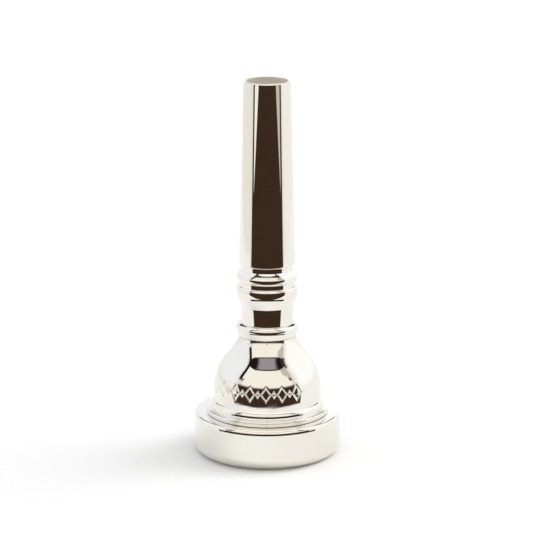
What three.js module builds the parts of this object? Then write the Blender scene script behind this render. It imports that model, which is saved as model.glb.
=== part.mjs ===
// Modular cornet mouthpiece, millimetres, +Z up.
// It stands on its playing rim at z = 0 with the shank pointing up, and every piece is turned about Z.
// Three silver-plated brass turnings screw together at two steps of the outline, and a rubber ring
// in each joint seals it and keeps it from working loose.

import * as THREE from 'three';
import { mergeVertices } from 'three/addons/utils/BufferGeometryUtils.js';

// ---------------------------------------------------------------------------
// Driving dimensions
// ---------------------------------------------------------------------------

const OVERALL_LENGTH = 71.8;

// Rim: the thick ring that meets the lips.
const RIM_OD = 27.9;
const RIM_BAND_HEIGHT = 8.0;
const RIM_CORNER_RADIUS = 0.5;
const RIM_EDGE_HEIGHT = 2.2;
const SHOULDER_LEDGE = 0.1;
const RIM_CUSHION = 3.8;
const LAND_OFFSET = 1.6;
const LAND_WIDTH = 1.6;
const BITE_HEIGHT = 1.5;

// Cup: the bowl, the throat and the barrel around them.
const CUP_ID = 16.2;
const CUP_BARREL_OD = 20.5;
const CUP_BARREL_HEIGHT = 4.3;
const CUP_BODY_HEIGHT = 15.0;
const CUP_STEP = 0.53;
const FLANGE_HEIGHT = 0.95;
const STEP_STRAIGHT = 0.45;
const STEP_FALL = 1.05;
const SKIRT_WALL = 1.37;
const FLANGE_SEAT = 1.65;
const BOWL_DEPTH = 11.35;
const THROAT_D = 3.66;
const THROAT_LENGTH = 0.9;

// Backbore: three beads, then the tapered shank that plugs into the instrument.
const BACKBORE_THREAD_D = 8.0;
const STUB_LENGTH = 6.8;
const JOINT_WALL = 1.52;
const NECK_D = 10.0;
const NECK_LENGTH = 3.35;
const LOWER_BEAD_SWELL = 0.43;
const LOWER_BEAD_RISE = 1.56;
const LOWER_BEAD_FALL = 0.9;
const MIDDLE_BEAD_SWELL = 0.86;
const MIDDLE_BEAD_RISE = 2.95;
const MIDDLE_BEAD_FALL = 1.05;
const GROOVE_D = 10.88;
const GROOVE_WIDTH = 0.8;
const UPPER_BEAD_SWELL = 0.32;
const UPPER_BEAD_RISE = 0.8;
const UPPER_BEAD_FALL = 1.45;
const RELIEF_D = 9.9;
const RELIEF_WIDTH = 0.9;
const SHANK_END_D = 8.95;
const SHANK_TAPER = 1 / 20;
const SHANK_SHOULDER_RADIUS = 0.3;
const SHANK_LIP_RADIUS = 0.2;
const BORE_MIDDLE_D = 5.0;
const BORE_END_D = 7.74;
const BORE_LEAD_IN = 0.05;

// Screw joints. Both are right-hand metric threads.
const RIM_THREAD_PITCH = 1.0;
const BACKBORE_THREAD_PITCH = 1.25;
const THREAD_DEPTH_PER_PITCH = 0.63;
const THREAD_CREST_PER_PITCH = 0.125;
const THREAD_FLANK = Math.tan(Math.PI / 6);
const THREAD_ROOT_CLEARANCE = 0.13;
const THREAD_BORE_CLEARANCE = 0.15;
const THREAD_FLANK_CLEARANCE = 0.08;
const THREAD_FADE = 0.4;
const THREAD_RUN_OUT = 0.3;
const THREAD_ROWS_PER_TURN = 6;

// Seals and fits.
const RIM_SEAL_SECTION = 0.85;
const BACKBORE_SEAL_SECTION = 0.95;
const SEAL_CLEARANCE = 0.08;
const SEAT_GAP = 0.05;
const END_CHAMFER = 0.3;
const EDGE_RADIUS = 0.12;
const FLANGE_RADIUS = 0.3;

// How far the cup's step turns over before it meets the barrel.
const ROUND_OVER_ANGLE = THREE.MathUtils.degToRad(70);

// Smoothness of the turned surfaces.
const SEGMENTS = 32;
const SEAL_SEGMENTS = 8;

// ---------------------------------------------------------------------------
// Sizes and levels that follow from them
// ---------------------------------------------------------------------------

const RIM_R = RIM_OD / 2;
const BITE_R = CUP_ID / 2;
const LAND_INNER_R = BITE_R + LAND_OFFSET;
const RIM_SHOULDER_R = RIM_R - RIM_CORNER_RADIUS;
const LAND_OUTER_R = Math.min(LAND_INNER_R + LAND_WIDTH, RIM_SHOULDER_R);
const SKIRT_INNER_R = BITE_R - 0.1;

const RIM_THREAD_D = 2 * (SKIRT_INNER_R + SKIRT_WALL + THREAD_DEPTH_PER_PITCH * RIM_THREAD_PITCH);
const rimThread = screwThread(RIM_THREAD_D, RIM_THREAD_PITCH);
const backboreThread = screwThread(BACKBORE_THREAD_D, BACKBORE_THREAD_PITCH);

const RIM_SEAT_Z = RIM_BAND_HEIGHT;
const RIM_SEAL_ROOM = RIM_SEAL_SECTION + 2 * SEAL_CLEARANCE;
const CUP_BASE_Z = RIM_SEAT_Z + SEAT_GAP;
const SKIRT_END_Z = RIM_CUSHION + SEAT_GAP;

const BARREL_R = CUP_BARREL_OD / 2;
const STEP_R = BARREL_R + CUP_STEP;
const FLANGE_R = Math.min(
  Math.max(rimThread.crestR + FLANGE_SEAT, STEP_R + CUP_STEP),
  RIM_SHOULDER_R - SHOULDER_LEDGE,
);
const FLANGE_TOP_RADIUS = Math.min(FLANGE_RADIUS, FLANGE_R - STEP_R - EDGE_RADIUS);
const CUP_TOP_Z = CUP_BASE_Z + CUP_BODY_HEIGHT;

const JOINT_R = backboreThread.crestR + JOINT_WALL;
const BACKBORE_BASE_Z = CUP_TOP_Z + SEAT_GAP;
const BACKBORE_SEAL_ROOM = BACKBORE_SEAL_SECTION + 2 * SEAL_CLEARANCE;
const STUB_END_Z = BACKBORE_BASE_Z - STUB_LENGTH;
const SOCKET_FLOOR_Z = STUB_END_Z - 2 * SEAT_GAP;
const THROAT_Z = Math.min(SKIRT_END_Z + BOWL_DEPTH, SOCKET_FLOOR_Z - THROAT_LENGTH);

// Each male thread runs from just above the end of its stub to just below its seal.
const RIM_THREAD_FROM_Z = SKIRT_END_Z + END_CHAMFER + THREAD_RUN_OUT;
const RIM_THREAD_TO_Z = RIM_SEAT_Z - RIM_SEAL_ROOM - THREAD_RUN_OUT;
const BACKBORE_THREAD_FROM_Z = STUB_END_Z + END_CHAMFER + THREAD_RUN_OUT;
const BACKBORE_THREAD_TO_Z = CUP_TOP_Z - BACKBORE_SEAL_ROOM - THREAD_RUN_OUT;

const NECK_R = NECK_D / 2;
const GROOVE_R = GROOVE_D / 2;
const RELIEF_R = RELIEF_D / 2;
const LOWER_CREST_Z = BACKBORE_BASE_Z + LOWER_BEAD_RISE;
const NECK_START_Z = LOWER_CREST_Z + LOWER_BEAD_FALL;
const NECK_END_Z = NECK_START_Z + NECK_LENGTH;
const MIDDLE_CREST_Z = NECK_END_Z + MIDDLE_BEAD_RISE;
const GROOVE_START_Z = MIDDLE_CREST_Z + MIDDLE_BEAD_FALL;
const GROOVE_END_Z = GROOVE_START_Z + GROOVE_WIDTH;
const UPPER_CREST_Z = GROOVE_END_Z + UPPER_BEAD_RISE;
const RELIEF_START_Z = UPPER_CREST_Z + UPPER_BEAD_FALL;
const SHANK_START_Z = RELIEF_START_Z + RELIEF_WIDTH;
const SHANK_END_R = SHANK_END_D / 2;
const SHANK_BIG_R = SHANK_END_R + ((OVERALL_LENGTH - SHANK_START_Z) * SHANK_TAPER) / 2;

// ---------------------------------------------------------------------------
// Outlines: lists of [radius, height], outside upwards and inside downwards. A third entry marks a
// threaded wall: it gives the radius for an angle about Z.
// ---------------------------------------------------------------------------

// A quarter wave between a low radius and a crest, listed from the bottom up. A full one is a
// quarter of an ellipse; the other leaves the low radius at a slant.
function swell(lowR, lowZ, crestR, crestZ, full, steps) {
  const points = [];
  for (let i = 0; i <= steps; i += 1) {
    const angle = (Math.PI / 2) * (i / steps);
    const along = full ? 1 - Math.cos(angle) : i / steps;
    points.push([lowR + (crestR - lowR) * Math.sin(angle), lowZ + (crestZ - lowZ) * along]);
  }
  return crestZ > lowZ ? points : points.reverse();
}

// A rounded step that leaves a wall upright and leans in to a smaller radius.
function roundOver(wallR, wallZ, endR, endZ, steps) {
  const points = [];
  for (let i = 0; i <= steps; i += 1) {
    const angle = (ROUND_OVER_ANGLE * i) / steps;
    const along = Math.sin(angle) / Math.sin(ROUND_OVER_ANGLE);
    const inward = (1 - Math.cos(angle)) / (1 - Math.cos(ROUND_OVER_ANGLE));
    points.push([wallR + (endR - wallR) * inward, wallZ + (endZ - wallZ) * along]);
  }
  return points;
}

// A round edge or fillet between two levels, centred at [centreR, centreZ].
function arc(centreR, centreZ, radius, fromDegrees, toDegrees, steps) {
  const points = [];
  for (let i = 0; i <= steps; i += 1) {
    const angle = THREE.MathUtils.degToRad(fromDegrees + ((toDegrees - fromDegrees) * i) / steps);
    points.push([centreR + radius * Math.cos(angle), centreZ + radius * Math.sin(angle)]);
  }
  return points;
}

function bezier(start, startPull, endPull, end, steps) {
  const corners = [start, startPull, endPull, end].map(([r, z]) => new THREE.Vector2(r, z));
  return new THREE.CubicBezierCurve(...corners).getPoints(steps).map((point) => [point.x, point.y]);
}

function rimOutline() {
  const cornerZ = RIM_BAND_HEIGHT - RIM_CORNER_RADIUS;
  const counterboreR = sealOuterR(rimThread, RIM_SEAL_SECTION) + SEAL_CLEARANCE;
  const counterboreZ = RIM_SEAT_Z - RIM_SEAL_ROOM;
  return [
    [LAND_INNER_R, 0],
    ...swell(LAND_OUTER_R, 0, RIM_R, RIM_EDGE_HEIGHT, true, 7),
    ...arc(RIM_SHOULDER_R, cornerZ, RIM_CORNER_RADIUS, 0, 90, 4),
    [counterboreR, RIM_SEAT_Z],
    [counterboreR, counterboreZ],
    ...femaleWall(rimThread, RIM_THREAD_FROM_Z, counterboreZ),
    [rimThread.boreR, RIM_CUSHION],
    [SKIRT_INNER_R, RIM_CUSHION],
    ...arcToLand(),
  ];
}

// The inner edge of the rim, from the cup's wall round to the playing land.
function arcToLand() {
  const points = [];
  const steps = 6;
  for (let i = 0; i <= steps; i += 1) {
    const angle = (Math.PI / 2) * (i / steps);
    points.push([LAND_INNER_R - LAND_OFFSET * Math.cos(angle), BITE_HEIGHT * (1 - Math.sin(angle))]);
  }
  return points;
}

function cupOutline() {
  const stepBaseZ = CUP_BASE_Z + FLANGE_HEIGHT;
  const stepCrestZ = stepBaseZ + STEP_STRAIGHT;
  const barrelEndZ = CUP_BASE_Z + CUP_BARREL_HEIGHT;
  const counterboreR = sealOuterR(backboreThread, BACKBORE_SEAL_SECTION) + SEAL_CLEARANCE;
  const counterboreZ = CUP_TOP_Z - BACKBORE_SEAL_ROOM;
  const shoulder = (CUP_BODY_HEIGHT - CUP_BARREL_HEIGHT) * 0.58;
  const waist = (CUP_BODY_HEIGHT - CUP_BARREL_HEIGHT) * 0.37;
  const waistR = JOINT_R + (BARREL_R - JOINT_R) * 0.17;
  return [
    [SKIRT_INNER_R, SKIRT_END_Z],
    [rimThread.coreR - END_CHAMFER, SKIRT_END_Z],
    [rimThread.coreR, SKIRT_END_Z + END_CHAMFER],
    ...maleWall(rimThread, RIM_THREAD_FROM_Z, RIM_THREAD_TO_Z),
    [rimThread.coreR, CUP_BASE_Z],
    ...arc(FLANGE_R - EDGE_RADIUS, CUP_BASE_Z + EDGE_RADIUS, EDGE_RADIUS, -90, 0, 2),
    ...arc(FLANGE_R - FLANGE_TOP_RADIUS, stepBaseZ - FLANGE_TOP_RADIUS, FLANGE_TOP_RADIUS, 0, 90, 3),
    ...arc(STEP_R + EDGE_RADIUS, stepBaseZ + EDGE_RADIUS, EDGE_RADIUS, -90, -180, 2),
    ...roundOver(STEP_R, stepCrestZ, BARREL_R, stepCrestZ + STEP_FALL, 5),
    ...bezier(
      [BARREL_R, barrelEndZ],
      [BARREL_R, barrelEndZ + shoulder],
      [waistR, CUP_TOP_Z - waist],
      [JOINT_R, CUP_TOP_Z],
      11,
    ),
    [counterboreR, CUP_TOP_Z],
    [counterboreR, counterboreZ],
    ...femaleWall(backboreThread, BACKBORE_THREAD_FROM_Z, counterboreZ),
    [backboreThread.boreR, SOCKET_FLOOR_Z],
    [THROAT_D / 2, SOCKET_FLOOR_Z],
    ...bowlOutline(),
  ];
}

// The bowl, from the throat down to the end of the skirt.
function bowlOutline() {
  const height = THROAT_Z - SKIRT_END_Z;
  const throatR = THROAT_D / 2;
  return bezier(
    [throatR, THROAT_Z],
    [throatR + 0.4, THROAT_Z - height * 0.3],
    [SKIRT_INNER_R, SKIRT_END_Z + height * 0.58],
    [SKIRT_INNER_R, SKIRT_END_Z],
    9,
  );
}

function backboreOutline() {
  const stubR = backboreThread.coreR;
  const endZ = OVERALL_LENGTH;
  const lipR = SHANK_END_R - SHANK_LIP_RADIUS;
  const shoulderR = SHANK_BIG_R - SHANK_SHOULDER_RADIUS;
  const shoulderZ = SHANK_START_Z + SHANK_SHOULDER_RADIUS;
  return [
    [THROAT_D / 2 + BORE_LEAD_IN, STUB_END_Z],
    [stubR - END_CHAMFER, STUB_END_Z],
    [stubR, STUB_END_Z + END_CHAMFER],
    ...maleWall(backboreThread, BACKBORE_THREAD_FROM_Z, BACKBORE_THREAD_TO_Z),
    [stubR, BACKBORE_BASE_Z],
    ...swell(JOINT_R, BACKBORE_BASE_Z, JOINT_R + LOWER_BEAD_SWELL, LOWER_CREST_Z, false, 4),
    ...swell(NECK_R, NECK_START_Z, JOINT_R + LOWER_BEAD_SWELL, LOWER_CREST_Z, true, 4).slice(1),
    ...swell(NECK_R, NECK_END_Z, NECK_R + MIDDLE_BEAD_SWELL, MIDDLE_CREST_Z, false, 5),
    ...swell(GROOVE_R, GROOVE_START_Z, NECK_R + MIDDLE_BEAD_SWELL, MIDDLE_CREST_Z, true, 4).slice(1),
    ...swell(GROOVE_R, GROOVE_END_Z, GROOVE_R + UPPER_BEAD_SWELL, UPPER_CREST_Z, true, 4),
    ...swell(RELIEF_R, RELIEF_START_Z, GROOVE_R + UPPER_BEAD_SWELL, UPPER_CREST_Z, false, 4).slice(1),
    [RELIEF_R, SHANK_START_Z],
    ...arc(shoulderR, shoulderZ, SHANK_SHOULDER_RADIUS, -90, 0, 3),
    ...arc(lipR, endZ - SHANK_LIP_RADIUS, SHANK_LIP_RADIUS, 0, 90, 3),
    [BORE_END_D / 2, endZ],
    [BORE_MIDDLE_D / 2, SHANK_START_Z],
  ];
}

// The outside radius of the seal that lies round a joint's core.
function sealOuterR(thread, section) {
  return thread.coreR + SEAL_CLEARANCE + section;
}

function sealOutline(thread, section, centreZ) {
  const centreR = thread.coreR + SEAL_CLEARANCE + section / 2;
  return arc(centreR, centreZ, section / 2, 0, 360, SEAL_SEGMENTS).slice(0, -1);
}

// ---------------------------------------------------------------------------
// Screw threads
// ---------------------------------------------------------------------------

// The radii of one screw joint: the male core and crest, and the female bore and root.
function screwThread(majorD, pitch) {
  const crestR = majorD / 2;
  const coreR = crestR - THREAD_DEPTH_PER_PITCH * pitch;
  const crestHalf = (THREAD_CREST_PER_PITCH * pitch) / 2;
  return {
    pitch,
    crestR,
    coreR,
    crestHalf,
    boreR: coreR + THREAD_BORE_CLEARANCE,
    rootR: crestR + THREAD_ROOT_CLEARANCE,
    rootHalf: crestHalf + THREAD_FLANK_CLEARANCE - THREAD_ROOT_CLEARANCE * THREAD_FLANK,
  };
}

// How far a point lies, along Z, from the middle of the nearest turn of a right-hand helix.
function offHelix(pitch, fromZ, angle, z) {
  const turns = (z - fromZ) / pitch - angle / (2 * Math.PI);
  return Math.abs(turns - Math.round(turns)) * pitch;
}

function threadRows(thread, fromZ, toZ) {
  const count = Math.ceil(((toZ - fromZ) / thread.pitch) * THREAD_ROWS_PER_TURN);
  const rows = [];
  for (let i = 0; i <= count; i += 1) {
    rows.push(fromZ + ((toZ - fromZ) * i) / count);
  }
  return rows;
}

// The male thread's wall, from the bottom up. It fades out at both ends.
function maleWall(thread, fromZ, toZ) {
  return threadRows(thread, fromZ, toZ).map((z) => {
    const fade = THREE.MathUtils.clamp(Math.min(z - fromZ, toZ - z) / THREAD_FADE, 0, 1);
    const radiusAt = (angle) => {
      const slope = Math.max(0, offHelix(thread.pitch, fromZ, angle, z) - thread.crestHalf) / THREAD_FLANK;
      return thread.coreR + Math.max(0, thread.crestR - slope - thread.coreR) * fade;
    };
    return [thread.coreR, z, radiusAt];
  });
}

// The female thread's wall, from the mouth down. It runs out through the chamfered mouth, and fades
// out below the level where the male thread starts.
function femaleWall(thread, maleFromZ, mouthZ) {
  const endZ = maleFromZ - THREAD_RUN_OUT;
  const rows = threadRows(thread, endZ, mouthZ).reverse();
  return rows.map((z) => {
    const baseR = thread.boreR + Math.max(0, END_CHAMFER - (mouthZ - z));
    const fade = THREE.MathUtils.clamp((z - endZ) / THREAD_RUN_OUT, 0, 1);
    const radiusAt = (angle) => {
      const slope = Math.max(0, offHelix(thread.pitch, maleFromZ, angle, z) - thread.rootHalf) / THREAD_FLANK;
      return Math.max(baseR, thread.boreR + (thread.rootR - slope - thread.boreR) * fade);
    };
    return [baseR, z, radiusAt];
  });
}

// ---------------------------------------------------------------------------
// Solids
// ---------------------------------------------------------------------------

// Turns a closed outline about the Z axis, then cuts or raises the threads on its threaded walls.
function turned(outline) {
  const closed = [...outline, outline[0]];
  const points = closed.map(([r, z]) => new THREE.Vector2(r, z));
  const geometry = new THREE.LatheGeometry(points, SEGMENTS);
  geometry.rotateX(Math.PI / 2);
  const position = geometry.attributes.position;
  for (let i = 0; i < position.count; i += 1) {
    const radiusAt = closed[i % closed.length][2];
    if (radiusAt) {
      const angle = Math.atan2(position.getY(i), position.getX(i));
      const radius = radiusAt(angle);
      position.setXY(i, radius * Math.cos(angle), radius * Math.sin(angle));
    }
  }
  geometry.deleteAttribute('normal');
  geometry.deleteAttribute('uv');
  const merged = mergeVertices(geometry, 1e-5);
  merged.computeVertexNormals();
  return merged;
}

// ---------------------------------------------------------------------------
// Pieces
// ---------------------------------------------------------------------------

function sealGeometry(thread, section, seatZ) {
  return turned(sealOutline(thread, section, seatZ - SEAL_CLEARANCE - section / 2));
}

function piece(name, geometry, finish) {
  const mesh = new THREE.Mesh(geometry, new THREE.MeshStandardMaterial(finish));
  mesh.name = name;
  return mesh;
}

const silverPlate = { color: 0xe4dfd3, roughness: 0.12, metalness: 1 };
const sealRubber = { color: 0x17171a, roughness: 0.75, metalness: 0 };

const mouthpiece = new THREE.Group();
mouthpiece.add(
  piece('rim', turned(rimOutline()), silverPlate),
  piece('rim_o_ring', sealGeometry(rimThread, RIM_SEAL_SECTION, RIM_SEAT_Z), sealRubber),
  piece('cup', turned(cupOutline()), silverPlate),
  piece('backbore_o_ring', sealGeometry(backboreThread, BACKBORE_SEAL_SECTION, CUP_TOP_Z), sealRubber),
  piece('backbore', turned(backboreOutline()), silverPlate),
);

export default mouthpiece;
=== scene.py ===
"""Builds the finished look of the silver-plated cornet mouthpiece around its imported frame.

The mouthpiece stands on its playing rim with the shank pointing up. Three turned brass pieces screw
together with a rubber ring in each joint. Sizes are in millimetres here and become metres as a mesh
is made.
"""

import logging
import math
from collections.abc import Callable, Sequence
from dataclasses import dataclass, field
from enum import Enum

import bpy
import numpy as np
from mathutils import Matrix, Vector

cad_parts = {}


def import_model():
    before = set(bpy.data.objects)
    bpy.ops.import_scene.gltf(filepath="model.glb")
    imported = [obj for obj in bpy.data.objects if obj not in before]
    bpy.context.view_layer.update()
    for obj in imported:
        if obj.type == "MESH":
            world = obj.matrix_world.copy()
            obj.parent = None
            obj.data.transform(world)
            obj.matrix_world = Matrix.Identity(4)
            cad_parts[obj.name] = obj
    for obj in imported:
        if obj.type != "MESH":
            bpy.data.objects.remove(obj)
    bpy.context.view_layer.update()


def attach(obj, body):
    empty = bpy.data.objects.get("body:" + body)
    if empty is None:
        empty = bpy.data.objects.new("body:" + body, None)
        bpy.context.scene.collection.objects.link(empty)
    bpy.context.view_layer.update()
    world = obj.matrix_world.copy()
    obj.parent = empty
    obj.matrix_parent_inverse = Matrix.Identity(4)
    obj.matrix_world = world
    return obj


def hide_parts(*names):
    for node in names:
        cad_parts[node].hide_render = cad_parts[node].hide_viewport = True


# metres in a millimetre
MM = 0.001
# how far from its end a straight stretch has a row that holds it flat
HOLD = 0.04
# points round a turned piece
AROUND = 256
# point spacing where the band is cut
FINE = 0.075
LOG = logging.getLogger("mouthpiece")

Point = tuple[float, float]
Colour = tuple[float, float, float, float]
Wall = Callable[[np.ndarray], np.ndarray]
Socket = bpy.types.NodeSocket


# ---------------------------------------------------------------------------
# Outlines
# ---------------------------------------------------------------------------


@dataclass(frozen=True)
class Row:
    """One ring of an outline: a radius and a height, or a wall whose radius changes round the axis."""

    r: float
    z: float
    wall: Wall | None = None

    def radii(self, angles: np.ndarray) -> np.ndarray:
        """The ring's radius at each angle about the axis, in radians."""
        if self.wall is None:
            return np.full(angles.shape, self.r)
        return self.wall(angles)


class Swell(Enum):
    """How a quarter wave leaves its low end: level with the wall, or at a slant."""

    EASED = "eased"
    SLANTED = "slanted"


def swell(low: Point, crest: Point, kind: Swell, steps: int = 28) -> list[Row]:
    """A quarter wave between a low radius and a crest, listed from the bottom up.

    Args:
        low: Radius and height of the low end.
        crest: Radius and height of the crest.
        kind: How the low end is left.
        steps: Number of spans.

    Returns:
        The rows of the curve.
    """
    rows = []
    for i in range(steps + 1):
        angle = math.pi / 2 * i / steps
        along = 1 - math.cos(angle) if kind is Swell.EASED else i / steps
        rows.append(Row(low[0] + (crest[0] - low[0]) * math.sin(angle), low[1] + (crest[1] - low[1]) * along))
    return rows if crest[1] > low[1] else rows[::-1]


def arc(centre: Point, radius: float, start: float, end: float, steps: int = 10) -> list[Row]:
    """A round edge or fillet.

    Args:
        centre: Radius and height of its centre.
        radius: Its own radius.
        start: First angle, in degrees from the outward direction.
        end: Last angle, in degrees.
        steps: Number of spans.

    Returns:
        The rows of the curve.
    """
    rows = []
    for i in range(steps + 1):
        angle = math.radians(start + (end - start) * i / steps)
        rows.append(Row(centre[0] + radius * math.cos(angle), centre[1] + radius * math.sin(angle)))
    return rows


def bezier(corners: Sequence[Point], steps: int) -> list[Row]:
    """A cubic curve through its first and last corner.

    Args:
        corners: Four corners, each a radius and a height.
        steps: Number of spans.

    Returns:
        The rows of the curve.
    """
    points = np.array(corners)
    t = np.linspace(0, 1, steps + 1)[:, None]
    weights = [(1 - t) ** 3, 3 * t * (1 - t) ** 2, 3 * t**2 * (1 - t), t**3]
    curve = sum(w * p for w, p in zip(weights, points))
    return [Row(float(r), float(z)) for r, z in curve]


def stack(*parts: Sequence[Row]) -> list[Row]:
    """Joins stretches of outline, and holds each long straight stretch flat with a row near each end.

    Args:
        *parts: Stretches of rows, in order.

    Returns:
        One list of rows, without any that repeats the one before.
    """
    nearest = 1e-4
    rows: list[Row] = []
    for row in (row for part in parts for row in part):
        last = rows[-1] if rows else None
        gap = math.hypot(row.r - last.r, row.z - last.z) if last else math.inf
        if gap < nearest and not row.wall:
            continue
        if last and gap > 3 * HOLD and not row.wall and not last.wall:
            for share in (HOLD / gap, 0.5, 1 - HOLD / gap):
                r, z = last.r + (row.r - last.r) * share, last.z + (row.z - last.z) * share
                rows.append(Row(r, z))
        rows.append(row)
    return rows


def round_over(wall: Point, end: Point, degrees: float = 70, steps: int = 16) -> list[Row]:
    """A rounded step that leaves a wall upright and leans in to a smaller radius.

    Args:
        wall: Radius and height where it leaves the wall.
        end: Radius and height of its inner end.
        degrees: How far it turns over.
        steps: Number of spans.

    Returns:
        The rows of the curve.
    """
    full = math.radians(degrees)
    rows = []
    for angle in np.linspace(0, full, steps + 1):
        along = math.sin(angle) / math.sin(full)
        inward = (1 - math.cos(angle)) / (1 - math.cos(full))
        rows.append(Row(wall[0] + (end[0] - wall[0]) * inward, wall[1] + (end[1] - wall[1]) * along))
    return rows


# ---------------------------------------------------------------------------
# Screw threads
# ---------------------------------------------------------------------------


@dataclass(frozen=True)
class ScrewThread:
    """A right-hand thread, male and female. Its depth and crest are shares of its pitch."""

    major_d: float
    pitch: float
    depth: float = 0.63
    crest: float = 0.125
    flank: float = math.tan(math.pi / 6)
    root_clearance: float = 0.13
    bore_clearance: float = 0.15
    flank_clearance: float = 0.08
    fade: float = 0.4
    run_out: float = 0.3
    chamfer: float = 0.3
    rows_per_turn: int = 18

    @property
    def crest_r(self) -> float:
        """Radius of the male crest."""
        return self.major_d / 2

    @property
    def core_r(self) -> float:
        """Radius of the male core."""
        return self.crest_r - self.depth * self.pitch

    @property
    def bore_r(self) -> float:
        """Radius of the female bore."""
        return self.core_r + self.bore_clearance

    def _off_helix(self, start: float, angles: np.ndarray, z: float) -> np.ndarray:
        """Distance along the axis from the middle of the nearest turn."""
        turns = (z - start) / self.pitch - angles / (2 * math.pi)
        return np.abs(turns - np.round(turns)) * self.pitch

    def _levels(self, low: float, high: float) -> np.ndarray:
        """Heights of the thread's rows, from the bottom up."""
        count = math.ceil((high - low) / self.pitch * self.rows_per_turn)
        return np.linspace(low, high, count + 1)

    def male(self, low: float, high: float) -> list[Row]:
        """The raised thread, fading out at both ends.

        Args:
            low: Lower end of the thread.
            high: Upper end of the thread.

        Returns:
            Its rows from the bottom up.
        """
        half = self.crest * self.pitch / 2

        def wall_at(z: float) -> Wall:
            """The male wall at a height."""
            fade = min(max(min(z - low, high - z) / self.fade, 0), 1)

            def wall(angles: np.ndarray) -> np.ndarray:
                """Its radius at each angle."""
                slope = np.maximum(0, self._off_helix(low, angles, z) - half) / self.flank
                return self.core_r + np.maximum(0, self.crest_r - slope - self.core_r) * fade

            return wall

        return [Row(self.core_r, float(z), wall_at(float(z))) for z in self._levels(low, high)]

    def female(self, male_low: float, mouth: float) -> list[Row]:
        """The cut thread, running out at its lower end.

        Args:
            male_low: Lower end of the male thread that it takes.
            mouth: Level of its chamfered mouth.

        Returns:
            Its rows from the mouth down.
        """
        low = male_low - self.run_out
        root_r = self.crest_r + self.root_clearance
        half = self.crest * self.pitch / 2 + self.flank_clearance - self.root_clearance * self.flank

        def wall_at(z: float) -> Wall:
            """The female wall at a height."""
            base = self.bore_r + max(0, self.chamfer - (mouth - z))
            fade = min(max((z - low) / self.run_out, 0), 1)

            def wall(angles: np.ndarray) -> np.ndarray:
                """Its radius at each angle."""
                slope = np.maximum(0, self._off_helix(male_low, angles, z) - half) / self.flank
                return np.maximum(base, self.bore_r + (root_r - slope - self.bore_r) * fade)

            return wall

        return [Row(self.bore_r, float(z), wall_at(float(z))) for z in self._levels(low, mouth)[::-1]]


# ---------------------------------------------------------------------------
# Turned meshes
# ---------------------------------------------------------------------------


@dataclass
class Turning:
    """A closed outline turned about the upright axis."""

    name: str
    rows: list[Row]
    angles: np.ndarray = field(default_factory=lambda: np.linspace(-math.pi, math.pi, AROUND, endpoint=False))
    sharp_degrees: float = 32.0

    def _sharp_rows(self) -> np.ndarray:
        """Finds the rows where the outline turns sharply.

        Returns:
            True or False for each row. A thread's rows are all False.
        """
        points = np.array([(row.r, row.z) for row in self.rows])
        into = points - np.roll(points, 1, axis=0)
        out = np.roll(points, -1, axis=0) - points
        turn = np.arctan2(
            into[:, 0] * out[:, 1] - into[:, 1] * out[:, 0],
            (into * out).sum(axis=1),
        )
        plain = np.array([row.wall is None for row in self.rows])
        return (np.abs(turn) > math.radians(self.sharp_degrees)) & plain

    def build(self, matte: np.ndarray | None = None) -> bpy.types.Object:
        """Makes the mesh object, smooth but for its sharp rings.

        Args:
            matte: How far from polished each vertex is, from 0 to 1, in row order.

        Returns:
            The new object, linked to the scene.
        """
        count, around = len(self.rows), len(self.angles)
        radii = np.array([row.radii(self.angles) for row in self.rows])
        heights = np.repeat(np.array([row.z for row in self.rows])[:, None], around, axis=1)
        co = np.stack([radii * np.cos(self.angles), radii * np.sin(self.angles), heights], axis=-1) * MM
        index = np.arange(count * around).reshape(count, around)
        up, left = np.roll(index, -1, axis=0), np.roll(index, -1, axis=1)
        quads = np.stack([index, left, np.roll(up, -1, axis=1), up], axis=-1).reshape(-1, 4)
        mesh = bpy.data.meshes.new(self.name)
        mesh.from_pydata(co.reshape(-1, 3).tolist(), [], quads.tolist())
        mesh.shade_smooth()
        sharp_rows = self._sharp_rows()
        ends = np.empty(len(mesh.edges) * 2, dtype=np.int32)
        mesh.edges.foreach_get("vertices", ends)
        first, second = (ends.reshape(-1, 2) // around).T
        sharp = mesh.attributes.new("sharp_edge", "BOOLEAN", "EDGE")
        sharp.data.foreach_set("value", (first == second) & sharp_rows[first])
        if matte is not None:
            layer = mesh.attributes.new("matte", "FLOAT", "POINT")
            layer.data.foreach_set("value", matte.reshape(-1).astype(np.float32))
        mesh.validate()
        obj = bpy.data.objects.new(self.name, mesh)
        bpy.context.scene.collection.objects.link(obj)
        return obj


# ---------------------------------------------------------------------------
# Finishes
# ---------------------------------------------------------------------------


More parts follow.
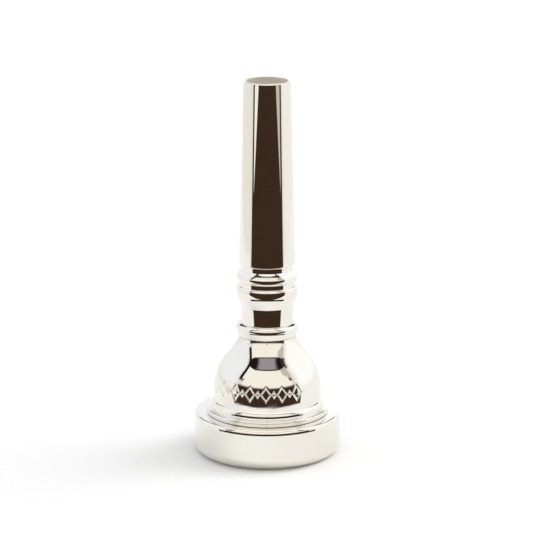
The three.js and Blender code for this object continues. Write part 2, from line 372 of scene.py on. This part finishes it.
class Sheet:
    """A node tree with short ways to add and join its nodes."""

    def __init__(self, tree: bpy.types.NodeTree) -> None:
        """Starts from an empty tree."""
        self.tree = tree
        tree.nodes.clear()

    def add(self, kind: str, **inputs: object) -> bpy.types.Node:
        """Adds a node and sets or links its named inputs.

        Args:
            kind: The node's type name.
            **inputs: Input names, with _ for a space, and a value or a socket for each.

        Returns:
            The new node.
        """
        node = self.tree.nodes.new(kind)
        for name, value in inputs.items():
            self.put(node.inputs[name.replace("_", " ")], value)
        return node

    def put(self, target: Socket, value: object) -> None:
        """Links a socket to the target, or sets its value.

        Args:
            target: The input to fill.
            value: A socket to link from, or a plain value.
        """
        if isinstance(value, bpy.types.NodeSocket):
            self.tree.links.new(value, target)
        else:
            target.default_value = value

    def math(self, operation: str, *values: object) -> Socket:
        """Adds a math node.

        Args:
            operation: Its operation.
            *values: A value or a socket for each input.

        Returns:
            Its result.
        """
        node = self.tree.nodes.new("ShaderNodeMath")
        node.operation = operation
        for target, value in zip(node.inputs, values):
            self.put(target, value)
        return node.outputs[0]

    def ramp(self, value: Socket, low: float, high: float, start: float = 0.0, end: float = 1.0) -> Socket:
        """A smooth step between two levels.

        Args:
            value: The value that it follows.
            low: The value where the step starts.
            high: The value where the step ends.
            start: The level below the step.
            end: The level above the step.

        Returns:
            The level at the value.
        """
        levels = {"From_Min": low, "From_Max": high, "To_Min": start, "To_Max": end}
        node = self.add("ShaderNodeMapRange", Value=value, **levels)
        node.interpolation_type = "SMOOTHSTEP"
        return node.outputs[0]

    def window(self, value: Socket, low: float, high: float, soft: float) -> Socket:
        """1 between two edges and 0 outside them.

        Args:
            value: The value that it follows.
            low: The lower edge.
            high: The upper edge.
            soft: How far each edge fades to either side.

        Returns:
            The level at the value.
        """
        rise = self.ramp(value, low - soft, low + soft)
        fall = self.ramp(value, high - soft, high + soft, 1.0, 0.0)
        return self.math("MULTIPLY", rise, fall)

    def blend(self, factor: object, first: object, second: object) -> Socket:
        """A mix of two colours.

        Args:
            factor: 0 for the first colour and 1 for the second, or a socket.
            first: A colour or a socket.
            second: A colour or a socket.

        Returns:
            The mixed colour.
        """
        node = self.tree.nodes.new("ShaderNodeMix")
        node.data_type = "RGBA"
        self.put(node.inputs["Factor"], factor)
        self.put(node.inputs[6], first)
        self.put(node.inputs[7], second)
        return node.outputs[2]

    def grain(self, vector: Socket, scale: float, detail: float = 2.0) -> Socket:
        """The level of a noise."""
        return self.add("ShaderNodeTexNoise", Vector=vector, Scale=scale, Detail=detail).outputs[0]

    def bump(self, height: Socket, strength: float, depth: float, normal: Socket | None = None) -> Socket:
        """A surface direction tilted by a height.

        Args:
            height: The height that tilts it.
            strength: Share of the tilt that is kept.
            depth: Distance in metres that a height of 1 stands for.
            normal: A direction to start from, if not the surface's own.

        Returns:
            The tilted direction.
        """
        node = self.add("ShaderNodeBump", Strength=strength, Distance=depth, Height=height)
        if normal is not None:
            self.put(node.inputs["Normal"], normal)
        return node.outputs[0]

    def finish(self, kind: str, shader: Socket) -> None:
        """Ends the tree with its output."""
        output = self.add(kind)
        self.put(output.inputs["Surface"], shader)


@dataclass(frozen=True)
class SilverPlate:
    """Polished silver plate, with faint lathe lines, soft smears and matte cuts and bores.

    Scales are in cycles per metre and depths in metres, because the shader works in metres.
    """

    name: str
    tint: tuple[float, float, float] = (0.85, 0.825, 0.77)
    warm: tuple[float, float, float] = (0.83, 0.8, 0.735)
    bare: tuple[float, float, float] = (0.97, 0.92, 0.84)
    smooth: float = 0.03
    smeared: float = 0.085
    matte_roughness: float = 0.42
    smear_scale: float = 260.0
    cloud_scale: float = 90.0
    ripple_scale: float = 420.0
    line_scale: float = 9000.0
    line_bend: float = 40.0
    line_depth: float = 1.2e-6
    ripple_depth: float = 1.2e-5

    def material(self) -> bpy.types.Material:
        """Makes the material.

        Returns:
            The new material.
        """
        made = bpy.data.materials.new(self.name)
        made.use_nodes = True
        sheet = Sheet(made.node_tree)
        place = sheet.add("ShaderNodeTexCoord").outputs["Object"]
        smear = sheet.grain(place, self.smear_scale, 3.0)
        cloud = sheet.grain(place, self.cloud_scale)
        stretch = (self.line_bend, self.line_bend, self.line_scale)
        lines = sheet.grain(sheet.add("ShaderNodeMapping", Vector=place, Scale=stretch).outputs[0], 1.0)
        ripple = sheet.grain(place, self.ripple_scale, 1.0)
        matte = sheet.add("ShaderNodeAttribute")
        matte.attribute_name = "matte"
        colour = sheet.blend(sheet.ramp(cloud, 0.35, 0.7), (*self.tint, 1), (*self.warm, 1))
        colour = sheet.blend(matte.outputs["Fac"], colour, (*self.bare, 1))
        rough = sheet.ramp(smear, 0.4, 0.8, self.smooth, self.smeared)
        dull = sheet.math("MULTIPLY", matte.outputs["Fac"], self.matte_roughness)
        rough = sheet.math("ADD", rough, dull)
        turned = sheet.bump(lines, 0.35, self.line_depth)
        waved = sheet.bump(ripple, 0.3, self.ripple_depth, turned)
        shader = sheet.add(
            "ShaderNodeBsdfPrincipled",
            Base_Color=colour,
            Metallic=1.0,
            Roughness=rough,
            Normal=waved,
        )
        sheet.finish("ShaderNodeOutputMaterial", shader.outputs[0])
        return made


@dataclass(frozen=True)
class SealRubber:
    """Black nitrile rubber with a fine grain and a little dust."""

    name: str
    dust_scale: float = 900.0
    grit_scale: float = 14000.0
    grit_depth: float = 1e-5
    dark: tuple[float, float, float] = (0.018, 0.018, 0.02)
    dusty: tuple[float, float, float] = (0.05, 0.05, 0.052)

    def material(self) -> bpy.types.Material:
        """Makes the material.

        Returns:
            The new material.
        """
        made = bpy.data.materials.new(self.name)
        made.use_nodes = True
        sheet = Sheet(made.node_tree)
        place = sheet.add("ShaderNodeTexCoord").outputs["Object"]
        dust = sheet.grain(place, self.dust_scale, 4.0)
        colour = sheet.blend(sheet.ramp(dust, 0.45, 0.75), (*self.dark, 1), (*self.dusty, 1))
        grit = sheet.bump(sheet.grain(place, self.grit_scale), 0.4, self.grit_depth)
        shader = sheet.add(
            "ShaderNodeBsdfPrincipled",
            Base_Color=colour,
            Roughness=sheet.ramp(dust, 0.3, 0.8, 0.42, 0.7),
            Normal=grit,
        )
        sheet.finish("ShaderNodeOutputMaterial", shader.outputs[0])
        return made


# ---------------------------------------------------------------------------
# Engraved band
# ---------------------------------------------------------------------------


class Motif(Enum):
    """The cut shapes of the band, as strokes in a box one unit wide and one unit high."""

    DIAMOND = (((0, -0.5), (0.5, 0)), ((0.5, 0), (0, 0.5)), ((0, 0.5), (-0.5, 0)), ((-0.5, 0), (0, -0.5)))
    LOZENGE = (((0, -0.2), (0.2, 0)), ((0.2, 0), (0, 0.2)), ((0, 0.2), (-0.2, 0)), ((-0.2, 0), (0, -0.2)))


@dataclass(frozen=True)
class EngravedBand:
    """A band of plain cut motifs round the front of the barrel."""

    centre_z: float = 13.95
    height: float = 2.9
    width: float = 1.8
    spacing: float = 1.55
    start_degrees: float = -161.0
    barrel_r: float = 10.2
    stroke: float = 0.3
    depth: float = 0.12
    margin_degrees: float = 6.0
    plain_spans: int = 150
    order: tuple[Motif, ...] = (Motif.DIAMOND, Motif.LOZENGE)
    count: int = 13

    @property
    def low_z(self) -> float:
        """Lower edge of the cut."""
        return self.centre_z - self.height / 2 - self.stroke

    @property
    def high_z(self) -> float:
        """Upper edge of the cut."""
        return self.centre_z + self.height / 2 + self.stroke

    @property
    def end_degrees(self) -> float:
        """The angle of the last motif."""
        return self.start_degrees + math.degrees(self.spacing * (self.count - 1) / self.barrel_r)

    def angles(self) -> np.ndarray:
        """Places the points round the cup, close together along the band and wider elsewhere.

        Returns:
            Their angles, one turn in all.
        """
        low = math.radians(self.start_degrees - self.margin_degrees)
        high = math.radians(self.end_degrees + self.margin_degrees)
        close = np.linspace(low, high, round((high - low) * self.barrel_r / FINE), endpoint=False)
        plain = np.linspace(high, low + 2 * math.pi, self.plain_spans, endpoint=False)
        return np.concatenate([close, plain])

    def level(self, angles: np.ndarray, z: float) -> np.ndarray:
        """Measures the cut at one height.

        Args:
            angles: The angles to measure at.
            z: The height.

        Returns:
            How deep the cut is at each angle, from 0 to 1.
        """
        along = (angles - math.radians(self.start_degrees)) * self.barrel_r
        best = np.full(angles.shape, np.inf)
        for i in range(self.count):
            x, y = along - i * self.spacing, z - self.centre_z
            for (ax, ay), (bx, by) in self.order[i % len(self.order)].value:
                start = np.array([ax * self.width, ay * self.height])
                run = np.array([bx * self.width, by * self.height]) - start
                share = ((x - start[0]) * run[0] + (y - start[1]) * run[1]) / (run @ run)
                share = np.clip(share, 0, 1)
                gap = np.hypot(x - start[0] - share * run[0], y - start[1] - share * run[1])
                best = np.minimum(best, gap)
        return np.clip(1 - best / (self.stroke / 2), 0, 1)


# ---------------------------------------------------------------------------
# The mouthpiece's pieces
# ---------------------------------------------------------------------------


@dataclass(frozen=True)
class Fits:
    """Sizes that more than one piece shares."""

    rim_thread: ScrewThread = ScrewThread(major_d=20.0, pitch=1.0)
    backbore_thread: ScrewThread = ScrewThread(major_d=8.0, pitch=1.25)
    rim_seat_z: float = 8.0
    cup_top_z: float = 23.05
    seat_gap: float = 0.05
    stub_length: float = 6.8
    cushion: float = 3.8
    end_chamfer: float = 0.3
    run_out: float = 0.3
    rim_seal: float = 0.85
    backbore_seal: float = 0.95
    seal_clearance: float = 0.08
    skirt_inner_r: float = 8.0
    flange_r: float = 11.65
    joint_r: float = 5.52
    throat_r: float = 1.83

    @property
    def cup_base_z(self) -> float:
        """Level of the cup's seat on the rim."""
        return self.rim_seat_z + self.seat_gap

    @property
    def skirt_end_z(self) -> float:
        """Lower end of the cup's threaded skirt."""
        return self.cushion + self.seat_gap

    @property
    def backbore_base_z(self) -> float:
        """Level of the backbore's seat on the cup."""
        return self.cup_top_z + self.seat_gap

    @property
    def stub_end_z(self) -> float:
        """Lower end of the backbore's threaded stub."""
        return self.backbore_base_z - self.stub_length

    def seal_room(self, section: float) -> float:
        """Height of the counterbore that holds a seal."""
        return section + 2 * self.seal_clearance

    def counterbore_r(self, thread: ScrewThread, section: float) -> float:
        """Radius of the counterbore that holds a seal."""
        return thread.core_r + 2 * self.seal_clearance + section


@dataclass
class Rim:
    """The thick ring that meets the lips, with the female thread that takes the cup."""

    fits: Fits
    plate: bpy.types.Material
    outer_r: float = 13.95
    corner: float = 0.5
    corner_height: float = 1.0
    edge_height: float = 2.2
    land_inner_r: float = 9.7
    land_outer_r: float = 11.3
    bite_height: float = 1.5
    bite_ledge: float = 0.1

    def outline(self) -> list[Row]:
        """Draws the closed outline.

        Returns:
            Its rows, outside upwards and then inside downwards.
        """
        fits = self.fits
        start_z = fits.rim_seat_z - self.corner_height
        corner = [
            Row(self.outer_r - self.corner * (1 - math.cos(a)), start_z + self.corner_height * math.sin(a))
            for a in np.linspace(0, math.pi / 2, 36)
        ]
        bore_r = fits.counterbore_r(fits.rim_thread, fits.rim_seal)
        bore_z = fits.rim_seat_z - fits.seal_room(fits.rim_seal)
        crest = (self.outer_r, self.edge_height)
        bite = self.land_inner_r - fits.skirt_inner_r - self.bite_ledge
        inner = [
            Row(self.land_inner_r - bite * math.cos(a), self.bite_height * (1 - math.sin(a)))
            for a in np.linspace(0, math.pi / 2, 28)
        ]
        return stack(
            [Row(self.land_inner_r, 0)],
            swell((self.land_outer_r, 0), crest, Swell.EASED, 48),
            corner,
            [Row(bore_r, fits.rim_seat_z), Row(bore_r, bore_z)],
            fits.rim_thread.female(fits.skirt_end_z + fits.end_chamfer + fits.run_out, bore_z),
            [Row(fits.rim_thread.bore_r, fits.cushion), Row(fits.skirt_inner_r, fits.cushion)],
            inner[:-1],
        )

    def build(self) -> None:
        """Makes the ring and gives it its plate and body."""
        ring = Turning("rim_ring", self.outline()).build()
        dress(ring, self.plate, "rim", "rim")


@dataclass
class Cup:
    """The bowl with its stepped foot, plain barrel, engraved band and both threads."""

    fits: Fits
    plate: bpy.types.Material
    band: EngravedBand = field(default_factory=EngravedBand)
    barrel_r: float = 10.25
    step_r: float = 10.78
    flange_height: float = 0.95
    flange_edge: float = 0.3
    step_straight: float = 0.45
    step_fall: float = 1.05
    barrel_height: float = 4.3
    edge: float = 0.12
    shoulder_pull: float = 0.58
    waist_pull: float = 0.37
    waist_share: float = 0.17
    plain_barrel: float = 1.5
    cut_matte: float = 0.4
    throat_flare: float = 0.4
    throat_pull: float = 0.3
    bowl_pull: float = 0.58
    bowl_top_z: float = 15.2
    socket_floor_z: float = 16.2

    def _outer_wall(self) -> list[Row]:
        """The barrel and its bell, with the band cut into them.

        Returns:
            Its rows from the bottom up.
        """
        fits = self.fits
        start_z = fits.cup_base_z + self.barrel_height
        height = fits.cup_top_z - start_z
        waist_r = fits.joint_r + (self.barrel_r - fits.joint_r) * self.waist_share
        curve = bezier(
            [
                (self.barrel_r, start_z),
                (self.barrel_r, start_z + height * self.shoulder_pull),
                (waist_r, fits.cup_top_z - height * self.waist_pull),
                (fits.joint_r, fits.cup_top_z),
            ],
            240,
        )
        known_z = np.array([row.z for row in curve])
        known_r = np.array([row.r for row in curve])
        low, high = self.band.low_z, self.band.high_z
        levels = np.concatenate(
            [
                np.linspace(start_z - self.plain_barrel, low, 8, endpoint=False),
                np.arange(low, high, FINE),
                np.linspace(high, fits.cup_top_z, 72),
            ]
        )

        def wall_at(radius: float, z: float) -> Wall:
            """The wall at a height, less the cut."""
            return lambda angles: radius - self.band.depth * self.band.level(angles, z)

        rows = []
        for z in levels:
            radius = float(np.interp(z, known_z, known_r)) if z > start_z else self.barrel_r
            cut = low <= z <= high
            rows.append(Row(radius, float(z), wall_at(radius, float(z)) if cut else None))
        return rows

    def outline(self) -> list[Row]:
        """Draws the closed outline.

        Returns:
            Its rows, outside upwards and then inside downwards.
        """
        fits, edge = self.fits, self.edge
        thread, socket = fits.rim_thread, fits.backbore_thread
        step_z = fits.cup_base_z + self.flange_height
        crest_z = step_z + self.step_straight
        flange = (fits.flange_r - self.flange_edge, step_z - self.flange_edge)
        bore_r = fits.counterbore_r(socket, fits.backbore_seal)
        bore_z = fits.cup_top_z - fits.seal_room(fits.backbore_seal)
        skirt_z = fits.skirt_end_z
        depth = self.bowl_top_z - skirt_z
        bowl = [
            (fits.throat_r, self.bowl_top_z),
            (fits.throat_r + self.throat_flare, self.bowl_top_z - depth * self.throat_pull),
            (fits.skirt_inner_r, skirt_z + depth * self.bowl_pull),
            (fits.skirt_inner_r, skirt_z),
        ]
        seal_low = fits.rim_seat_z - fits.seal_room(fits.rim_seal)
        return stack(
            [
                Row(thread.core_r - fits.end_chamfer, skirt_z),
                Row(thread.core_r, skirt_z + fits.end_chamfer),
            ],
            thread.male(skirt_z + fits.end_chamfer + fits.run_out, seal_low - fits.run_out),
            [Row(thread.core_r, fits.cup_base_z)],
            arc((fits.flange_r - edge, fits.cup_base_z + edge), edge, -90, 0),
            arc(flange, self.flange_edge, 0, 90, 16),
            arc((self.step_r + edge, step_z + edge), edge, -90, -180),
            round_over((self.step_r, crest_z), (self.barrel_r, crest_z + self.step_fall)),
            self._outer_wall(),
            [Row(bore_r, fits.cup_top_z), Row(bore_r, bore_z)],
            socket.female(fits.stub_end_z + fits.end_chamfer + fits.run_out, bore_z),
            [Row(socket.bore_r, self.socket_floor_z), Row(fits.throat_r, self.socket_floor_z)],
            bezier(bowl, 64),
        )

    def build(self) -> None:
        """Makes the cup and gives it its plate and body."""
        angles = self.band.angles()
        rows = self.outline()
        matte = np.zeros((len(rows), len(angles)))
        for i, row in enumerate(rows):
            if row.wall and self.band.low_z <= row.z <= self.band.high_z and row.r > self.fits.joint_r:
                matte[i] = np.minimum(self.band.level(angles, row.z) * 2, 1) * self.cut_matte
        bowl = Turning("cup_bowl", rows, angles).build(matte)
        dress(bowl, self.plate, "cup", "cup")


@dataclass
class Backbore:
    """The three beads, the tapered shank, the flared bore and the threaded stub."""

    fits: Fits
    plate: bpy.types.Material
    top_z: float = 71.8
    neck_r: float = 5.0
    neck_length: float = 3.35
    lower_bead: tuple[float, float, float] = (0.43, 1.56, 0.9)
    middle_bead: tuple[float, float, float] = (0.86, 2.95, 1.05)
    upper_bead: tuple[float, float, float] = (0.32, 0.8, 1.45)
    groove_r: float = 5.44
    groove_width: float = 0.8
    relief_r: float = 4.95
    relief_width: float = 0.9
    end_r: float = 4.475
    taper: float = 1 / 20
    shoulder: float = 0.3
    lip: float = 0.2
    lead_in: float = 0.05
    bore_middle_r: float = 2.5
    bore_end_r: float = 3.87

    def outline(self) -> list[Row]:
        """Draws the closed outline.

        Returns:
            Its rows, outside upwards and then inside downwards.
        """
        fits = self.fits
        thread = fits.backbore_thread
        base_z = fits.backbore_base_z
        lower = (fits.joint_r + self.lower_bead[0], base_z + self.lower_bead[1])
        neck_z = lower[1] + self.lower_bead[2]
        neck_top = neck_z + self.neck_length
        middle = (self.neck_r + self.middle_bead[0], neck_top + self.middle_bead[1])
        groove_z = middle[1] + self.middle_bead[2]
        groove_top = groove_z + self.groove_width
        upper = (self.groove_r + self.upper_bead[0], groove_top + self.upper_bead[1])
        relief_z = upper[1] + self.upper_bead[2]
        shank_z = relief_z + self.relief_width
        big_r = self.end_r + (self.top_z - shank_z) * self.taper / 2
        stub_z = fits.stub_end_z
        seal_low = fits.cup_top_z - fits.seal_room(fits.backbore_seal)
        lip_r = self.end_r - self.lip
        bore_r = fits.throat_r + self.lead_in
        return stack(
            [
                Row(bore_r, stub_z),
                Row(thread.core_r - fits.end_chamfer, stub_z),
                Row(thread.core_r, stub_z + fits.end_chamfer),
            ],
            thread.male(stub_z + fits.end_chamfer + fits.run_out, seal_low - fits.run_out),
            [Row(thread.core_r, base_z)],
            swell((fits.joint_r, base_z), lower, Swell.SLANTED),
            swell((self.neck_r, neck_z), lower, Swell.EASED),
            swell((self.neck_r, neck_top), middle, Swell.SLANTED, 40),
            swell((self.groove_r, groove_z), middle, Swell.EASED),
            swell((self.groove_r, groove_top), upper, Swell.EASED),
            swell((self.relief_r, relief_z), upper, Swell.SLANTED),
            [Row(self.relief_r, shank_z)],
            arc((big_r - self.shoulder, shank_z + self.shoulder), self.shoulder, -90, 0),
            arc((lip_r, self.top_z - self.lip), self.lip, 0, 90),
            [
                Row(self.bore_end_r, self.top_z),
                Row(self.bore_middle_r, shank_z),
                Row(bore_r, stub_z + HOLD),
            ],
        )

    def build(self) -> None:
        """Makes the backbore and gives it its plate and body."""
        rows = self.outline()
        inside = np.array([row.wall is None and row.r <= self.bore_end_r + HOLD for row in rows])
        matte = np.repeat(inside[:, None].astype(float), AROUND, axis=1)
        shank = Turning("backbore_shank", rows).build(matte)
        dress(shank, self.plate, "backbore", "backbore")


@dataclass
class SealRing:
    """A round rubber ring in the counterbore of one joint."""

    fits: Fits
    rubber: bpy.types.Material
    node: str
    body: str
    thread: ScrewThread
    section: float
    seat_z: float

    def build(self) -> None:
        """Makes the ring and gives it its rubber and body."""
        centre_r = self.thread.core_r + self.fits.seal_clearance + self.section / 2
        centre_z = self.seat_z - self.fits.seal_clearance - self.section / 2
        rows = arc((centre_r, centre_z), self.section / 2, 0, 360, 32)[:-1]
        ring = Turning(f"{self.node}_seal", rows, sharp_degrees=90).build()
        dress(ring, self.rubber, self.body, self.node)


def dress(obj: bpy.types.Object, material: bpy.types.Material, body: str, node: str) -> None:
    """Gives a finished piece its material, its body and the node it stands for.

    Args:
        obj: The finished piece.
        material: Its finish.
        body: The body that it rides on.
        node: The node that it replaces.
    """
    obj.data.materials.append(material)
    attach(obj, body)
    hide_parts(node)
    LOG.info("%s: %d faces, on %s", obj.name, len(obj.data.polygons), body)


# ---------------------------------------------------------------------------
# Studio
# ---------------------------------------------------------------------------


class Across(Enum):
    """How a patch's angle from the front is measured: alike on both sides, or right of the front only."""

    MIRRORED = "mirrored"
    RIGHTWARD = "rightward"


@dataclass(frozen=True)
class Patch:
    """One part of the tent, placed by its direction from the mouthpiece in degrees.

    A limit that is past the tent's own ends leaves that side open.

    Attributes:
        across: Its two sides, as angles from the front.
        across_soft: How far its sides fade.
        rise: Its lower and upper edges, as angles above level.
        rise_soft: How far its edges fade.
        glow: Its colour.
        ahead: Its colour straight ahead, where that is another.
        measure: How its angle from the front is measured.
        bowed: Whether its edges drop towards the sides, as the front wall's top does.
        unseen: Whether it only lights the table, and no polished surface mirrors it.
    """

    across: tuple[float, float]
    across_soft: float
    rise: tuple[float, float]
    rise_soft: float
    glow: Colour
    ahead: Colour | None = None
    measure: Across = Across.MIRRORED
    bowed: bool = False
    unseen: bool = False


DARK: Colour = (0.05, 0.028, 0.016, 1)
NIGHT: Colour = (0.012, 0.01, 0.009, 1)
# past every angle that the tent has
OPEN = 200.0

BESIDE = Patch((0.0, 72.0), 12.0, (-20.0, 54.0), 6.0, (0.85, 0.83, 0.78, 1))
ROOF = Patch((-OPEN, OPEN), 1.0, (66.0, OPEN), 4.0, (1.35, 1.35, 1.35, 1))
LAMP = Patch(
    (84.0, 128.0), 10.0, (28.0, 54.0), 8.0, (6.0, 6.0, 6.0, 1), measure=Across.RIGHTWARD, unseen=True
)
BACK_GAP = Patch((140.0, OPEN), 6.0, (23.5, 46.0), 3.0, NIGHT)
FRONT_WALL = Patch((-OPEN, 58.0), 1.5, (9.0, 56.0), 0.6, (1.06, 1.04, 0.96, 1), bowed=True)
FRONT_GAP = Patch((-OPEN, 70.0), 6.0, (56.0, 65.0), 1.5, NIGHT, (0.36, 0.33, 0.36, 1), bowed=True)
TOP_SEAM = Patch((-OPEN, 64.0), 4.0, (55.3, 57.2), 0.4, DARK, bowed=True)
LEFT_POST = Patch((-71.0, -58.0), 1.5, (23.0, 64.0), 3.0, NIGHT, measure=Across.RIGHTWARD)
RIGHT_POST = Patch((54.5, 62.5), 1.5, (24.0, 64.0), 3.0, DARK, measure=Across.RIGHTWARD)
OPENING = Patch((-OPEN, 68.0), 1.5, (-OPEN, 12.5), 3.0, DARK)
LENS = Patch((-OPEN, 3.0), 1.5, (13.5, 17.0), 1.0, (0.2, 0.24, 0.3, 1))


@dataclass(frozen=True)
class Card:
    """A curved card round the axis, from a slanted lower edge up to a level top.

    Attributes:
        name: Its name.
        distance: How far it stands from the axis.
        turns: Direction of its two ends, in degrees from the front.
        lows: Height of its lower edge at each end.
        top: Height of its upper edge.
        glow: Its colour.
    """

    name: str
    distance: float
    turns: tuple[float, float]
    lows: tuple[float, float]
    top: float
    glow: Colour


LEFT_CARD = Card("left_card", 60.0, (-58.0, -40.0), (41.0, 64.0), 87.0, (1.05, 1.04, 1.0, 1))
RIGHT_CARD = Card("right_card", 60.0, (58.0, 40.0), (41.0, 64.0), 87.0, (0.62, 0.59, 0.53, 1))
DARK_WALL = Card("dark_wall", 40.5, (-67.0, 67.0), (1.9, 1.9), 9.0, DARK)


@dataclass
class Studio:
    """A light tent round a pale table, with three cards that only the metal mirrors, and the camera."""

    table_front: float = -51.0
    table_side: float = 190.0
    table_reach: float = 2500.0
    table_colour: Colour = (0.93, 0.93, 0.925, 1)
    table_roughness: float = 0.9
    table_specular: float = 0.1
    camera_place: tuple[float, float, float] = (0.0, -469.5, 156.2)
    camera_pitch: float = 14.334
    camera_yaw: float = 0.0156
    lens: float = 173.47
    sensor_width: float = 36.0
    clip: Point = (0.01, 20.0)
    white: Colour = (1.0, 1.03, 1.09, 1)
    bright: Colour = (1.16, 1.18, 1.22, 1)
    left_low: Colour = (0.95, 0.93, 0.89, 1)
    right_low: Colour = (1.04, 1.02, 0.97, 1)
    front_degrees: float = 60.0
    front_drop: float = 6.0
    ahead_fade: Point = (26.0, 44.0)
    patches: tuple[Patch, ...] = (
        BESIDE,
        ROOF,
        LAMP,
        BACK_GAP,
        FRONT_WALL,
        FRONT_GAP,
        TOP_SEAM,
        LEFT_POST,
        RIGHT_POST,
        OPENING,
        LENS,
    )

    def _emitter(self, name: str, colour: Colour) -> bpy.types.Material:
        """Makes a plain glowing material.

        Args:
            name: Its name.
            colour: Its glow.

        Returns:
            The new material.
        """
        made = bpy.data.materials.new(name)
        made.use_nodes = True
        sheet = Sheet(made.node_tree)
        glow = sheet.add("ShaderNodeEmission", Color=colour)
        sheet.finish("ShaderNodeOutputMaterial", glow.outputs[0])
        return made

    def _mesh(
        self, name: str, points: Sequence[Sequence[float]], faces: Sequence[Sequence[int]]
    ) -> bpy.types.Object:
        """Makes a plain mesh object.

        Args:
            name: Its name.
            points: Its points, in millimetres.
            faces: The points of each face, by number.

        Returns:
            The new object, linked to the scene.
        """
        mesh = bpy.data.meshes.new(name)
        mesh.from_pydata([tuple(c * MM for c in point) for point in points], [], faces)
        obj = bpy.data.objects.new(name, mesh)
        bpy.context.scene.collection.objects.link(obj)
        return obj

    def table(self) -> None:
        """The pale table, which ends just in front of the mouthpiece."""
        front, side, reach = self.table_front, self.table_side, self.table_reach
        corners = [(-side, front, 0), (side, front, 0), (side, reach, 0), (-side, reach, 0)]
        top = self._mesh("table", corners, [range(len(corners))])
        made = bpy.data.materials.new("table_white")
        made.use_nodes = True
        sheet = Sheet(made.node_tree)
        look = {"Base_Color": self.table_colour, "Roughness": self.table_roughness}
        shader = sheet.add("ShaderNodeBsdfPrincipled", **look)
        shader.inputs["Specular IOR Level"].default_value = self.table_specular
        sheet.finish("ShaderNodeOutputMaterial", shader.outputs[0])
        top.data.materials.append(made)

    def card(self, card: Card, spans: int = 24) -> None:
        """Puts up a card that the camera and the table don't see.

        Args:
            card: The card to put up.
            spans: Number of flat spans round it.
        """
        points = []
        for i in range(spans + 1):
            share = i / spans
            turn = math.radians(card.turns[0] + (card.turns[1] - card.turns[0]) * share)
            low = card.lows[0] + (card.lows[1] - card.lows[0]) * share
            x, y = card.distance * math.sin(turn), -card.distance * math.cos(turn)
            points += [(x, y, low), (x, y, card.top)]
        faces = [(2 * i, 2 * i + 2, 2 * i + 3, 2 * i + 1) for i in range(spans)]
        obj = self._mesh(card.name, points, faces)
        obj.data.materials.append(self._emitter(f"{card.name}_glow", card.glow))
        obj.visible_camera = False
        obj.visible_diffuse = False
        obj.visible_shadow = False

    def tent(self) -> None:
        """The walls and roof of the tent, laid out by direction from the mouthpiece."""
        world = bpy.data.worlds.new("tent")
        world.use_nodes = True
        bpy.context.scene.world = world
        sheet = Sheet(world.node_tree)
        towards = sheet.add("ShaderNodeTexCoord").outputs["Generated"]
        split = sheet.add("ShaderNodeSeparateXYZ", Vector=towards)
        x, y, z = split.outputs
        rise = sheet.math("DEGREES", sheet.math("ARCSINE", z))
        turn = sheet.math("DEGREES", sheet.math("ARCTAN2", x, sheet.math("MULTIPLY", y, -1.0)))
        aside = sheet.math("ABSOLUTE", turn)
        # the front wall's top edge is lower at its sides
        share = sheet.math("POWER", sheet.math("DIVIDE", aside, self.front_degrees), 2.0)
        bowed = sheet.math("ADD", rise, sheet.math("MULTIPLY", share, self.front_drop))
        colour = sheet.blend(sheet.ramp(turn, -60.0, 60.0), self.white, self.bright)
        # the side walls are dimmer near the table
        level = sheet.blend(sheet.ramp(turn, -40.0, 40.0), self.left_low, self.right_low)
        colour = sheet.blend(sheet.ramp(rise, -6.0, 12.0, 1.0, 0.0), colour, level)
        bounce = sheet.add("ShaderNodeLightPath").outputs["Is Diffuse Ray"]
        for patch in self.patches:
            angle = aside if patch.measure is Across.MIRRORED else turn
            sides = sheet.window(angle, *patch.across, patch.across_soft)
            edges = sheet.window(bowed if patch.bowed else rise, *patch.rise, patch.rise_soft)
            cover = sheet.math("MULTIPLY", sides, edges)
            if patch.unseen:
                cover = sheet.math("MULTIPLY", cover, bounce)
            glow = patch.glow
            if patch.ahead is not None:
                glow = sheet.blend(sheet.ramp(aside, *self.ahead_fade), patch.ahead, patch.glow)
            colour = sheet.blend(cover, colour, glow)
        seen = sheet.add("ShaderNodeLightPath").outputs["Is Camera Ray"]
        colour = sheet.blend(seen, colour, self.white)
        back = sheet.add("ShaderNodeBackground", Color=colour)
        sheet.finish("ShaderNodeOutputWorld", back.outputs[0])

    def camera(self) -> None:
        """The camera, a little above the mouthpiece and looking down at it."""
        data = bpy.data.cameras.new("camera")
        data.lens = self.lens
        data.sensor_width = self.sensor_width
        data.clip_start, data.clip_end = self.clip
        obj = bpy.data.objects.new("camera", data)
        obj.location = Vector(self.camera_place) * MM
        obj.rotation_euler = (math.radians(90 - self.camera_pitch), 0, math.radians(self.camera_yaw))
        bpy.context.scene.collection.objects.link(obj)
        bpy.context.scene.camera = obj

    def build(self) -> None:
        """Sets up the whole studio."""
        bpy.context.scene.view_settings.view_transform = "Standard"
        self.table()
        for card in (LEFT_CARD, RIGHT_CARD, DARK_WALL):
            self.card(card)
        self.tent()
        self.camera()


def main() -> None:
    """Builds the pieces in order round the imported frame."""
    logging.basicConfig(level=logging.INFO, format="%(name)s: %(message)s")
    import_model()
    fits = Fits()
    rubber = SealRubber("seal_rubber").material()
    Studio().build()
    Rim(fits, SilverPlate("rim_silver").material()).build()
    SealRing(fits, rubber, "rim_o_ring", "rim_seal", fits.rim_thread, fits.rim_seal, fits.rim_seat_z).build()
    Cup(fits, SilverPlate("cup_silver").material()).build()
    thread, section = fits.backbore_thread, fits.backbore_seal
    SealRing(fits, rubber, "backbore_o_ring", "backbore_seal", thread, section, fits.cup_top_z).build()
    Backbore(fits, SilverPlate("backbore_silver").material()).build()


if __name__ == "__main__":
    main()
